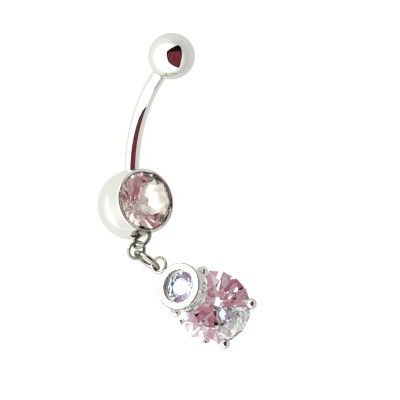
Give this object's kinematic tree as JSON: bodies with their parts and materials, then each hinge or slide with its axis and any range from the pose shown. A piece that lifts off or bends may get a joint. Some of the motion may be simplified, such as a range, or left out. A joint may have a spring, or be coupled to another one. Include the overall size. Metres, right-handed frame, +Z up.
{
  "type": "navel ring",
  "caption": "Curved steel barbell with a gem set in one ball, a screw-on ball, and a linked drop with a tube-set and a claw-set stone.",
  "frame": {"origin": "bottom centre of the whole, on the table that it lies on", "axes": "+Z up from the table, +Y along the barbell from the gem ball to the screw-on ball, +X to the side that the gem faces"},
  "size_m": [0.0196, 0.0312, 0.0086],
  "materials": {
    "post_steel": "mirror-polished surgical steel",
    "ball_steel": "mirror-polished surgical steel",
    "ring_steel": "polished steel wire",
    "setting_steel": "polished plated metal",
    "set_gem": "clear faceted crystal with a mirrored back",
    "clear_stone": "clear cut cubic zirconia"
  },
  "bodies": {
    "barbell": {"curved_post": "post_steel", "ball_gem": "set_gem", "jump_ring_1": "ring_steel", "jump_ring_2": "ring_steel", "drop_setting": "setting_steel", "tube_stone": "clear_stone", "drop_stone": "clear_stone"},
    "screw_ball": {"top_ball": "ball_steel"}
  },
  "joints": [
    {"name": "ball_off", "type": "slide", "parent": "barbell", "child": "screw_ball", "axis": [0.3651, 0.8994, 0.2405], "range_m": [0, 0.006]}
  ]
}
